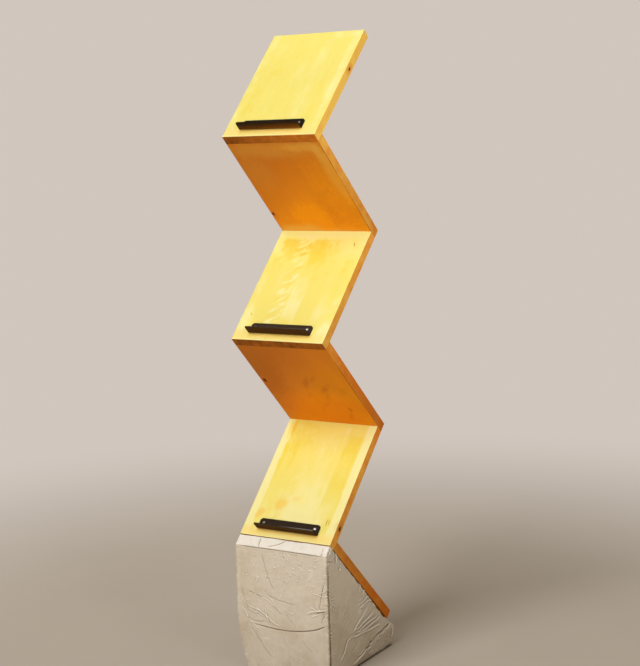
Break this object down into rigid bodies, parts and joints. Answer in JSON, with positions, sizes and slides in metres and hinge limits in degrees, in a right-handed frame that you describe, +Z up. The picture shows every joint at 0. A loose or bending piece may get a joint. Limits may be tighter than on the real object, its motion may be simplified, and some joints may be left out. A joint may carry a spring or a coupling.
{
  "type": "zigzag bookshelf",
  "caption": "Free-standing bookshelf: boards joined square in an upright zigzag on a cast concrete wedge, with a steel ledge on each sloping shelf to stop the books.",
  "frame": {"origin": "on the floor, at the centre of the base's footprint", "axes": "+Z up, +X to the right of someone facing the front, +Y to the rear; shelves rise towards +Y"},
  "size_m": [0.302, 0.353, 1.785],
  "materials": {
    "birch": "satin",
    "dowel_wood": "matte",
    "black_steel": "satin",
    "screw_steel": "satin",
    "zinc_steel": "satin",
    "concrete": "matte"
  },
  "bodies": {
    "root": {"concrete_base": "concrete", "foot_board": "birch", "base_bolts": "zinc_steel", "base_washers": "zinc_steel", "anchor_sockets": "zinc_steel", "lower_return_board": "birch", "middle_return_board": "birch", "lower_shelf_board": "birch", "lower_book_ledge": "black_steel", "lower_ledge_screws": "screw_steel", "lower_front_joint_dowels": "dowel_wood", "middle_shelf_board": "birch", "middle_book_ledge": "black_steel", "middle_ledge_screws": "screw_steel", "middle_front_joint_dowels": "dowel_wood", "top_shelf_board": "birch", "top_book_ledge": "black_steel", "top_ledge_screws": "screw_steel", "top_front_joint_dowels": "dowel_wood", "lower_rear_joint_dowels": "dowel_wood", "middle_rear_joint_dowels": "dowel_wood"}
  },
  "joints": []
}
